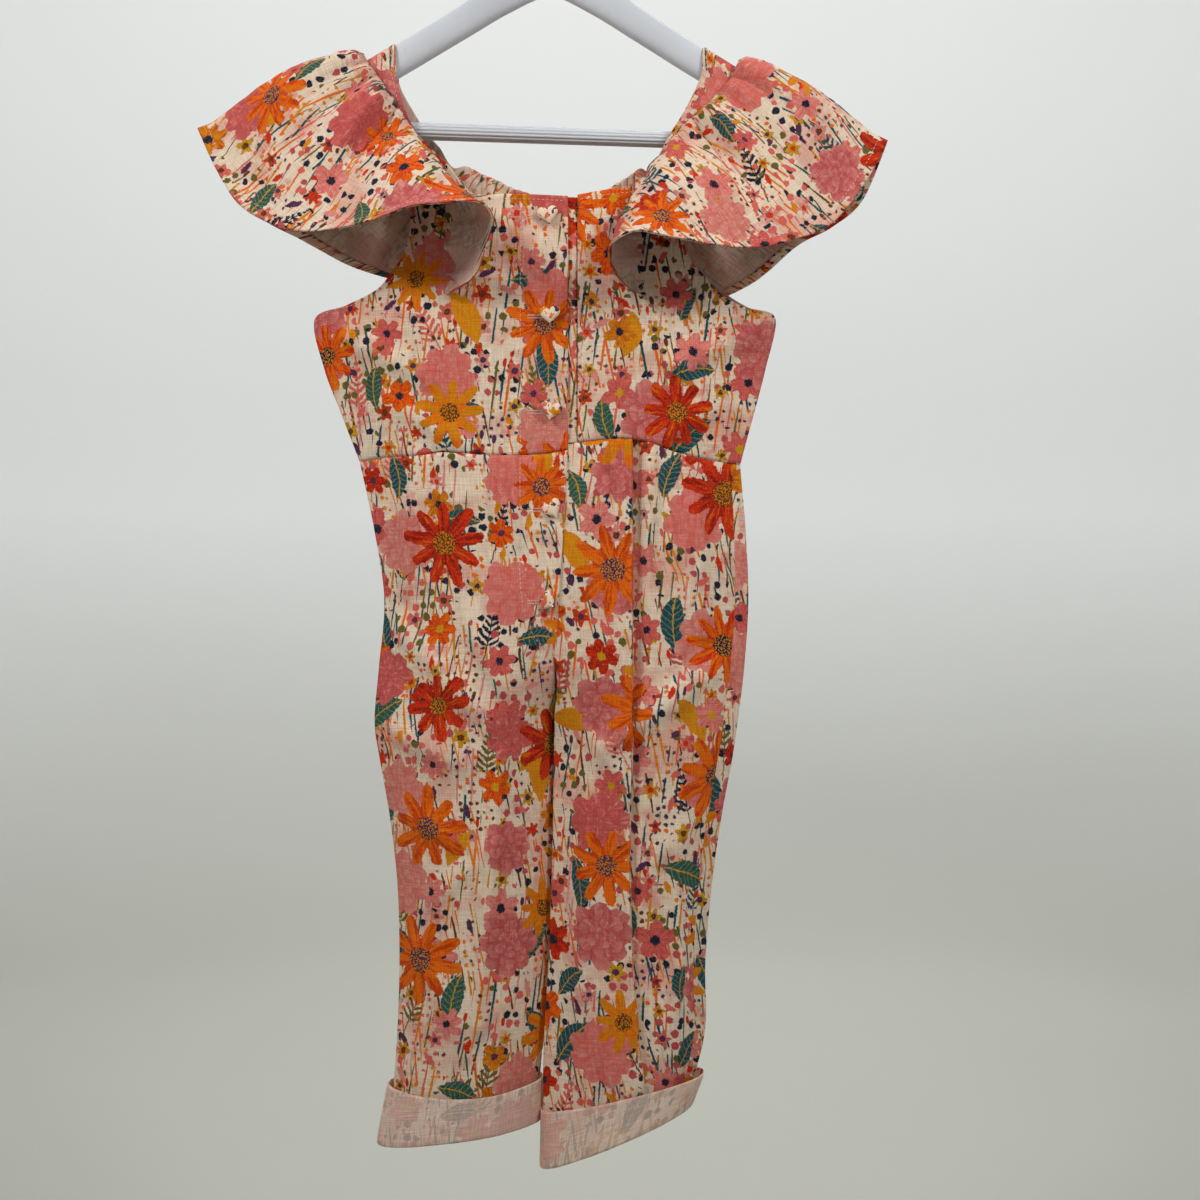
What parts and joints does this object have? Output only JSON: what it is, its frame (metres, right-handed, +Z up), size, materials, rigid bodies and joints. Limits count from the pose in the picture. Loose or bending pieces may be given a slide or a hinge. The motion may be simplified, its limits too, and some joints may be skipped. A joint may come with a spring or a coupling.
{
  "type": "child's jumpsuit with flutter sleeves on a hanger",
  "caption": "Child's floral linen jumpsuit with flutter sleeves, a button front and turned-up trouser cuffs, hanging on a white wooden hanger.",
  "frame": {"origin": "inside top of the hanger's hook, where a rod carries it", "axes": "+X to the viewer's right as the front is seen (the wearer's left), +Y away from the front, +Z up; right and left in names are the wearer's"},
  "size_m": [0.5182, 0.1307, 0.974],
  "materials": {
    "printed_linen": "matt linen with an all-over flower print",
    "linen_wrong_side": "matt linen, the pale wrong side of the print",
    "covered_button": "matt linen stretched over a heart shape",
    "hanger_paint": "white satin paint on wood",
    "hook_wire": "polished steel wire"
  },
  "bodies": {
    "root": {"front_right": "printed_linen", "front_left": "printed_linen", "placket_under": "printed_linen", "back_bodice": "printed_linen", "strap_right": "printed_linen", "strap_left": "printed_linen", "ruffle_right": "printed_linen", "ruffle_left": "printed_linen", "trouser_front_right": "printed_linen", "trouser_front_left": "printed_linen", "trouser_back_right": "printed_linen", "trouser_back_left": "printed_linen", "cuff_right": "linen_wrong_side", "cuff_left": "linen_wrong_side", "button_1": "covered_button", "button_2": "covered_button", "button_3": "covered_button", "button_4": "covered_button", "button_5": "covered_button", "hanger_body": "hanger_paint", "hanger_bar": "hanger_paint", "hanger_hook": "hook_wire"}
  },
  "joints": []
}
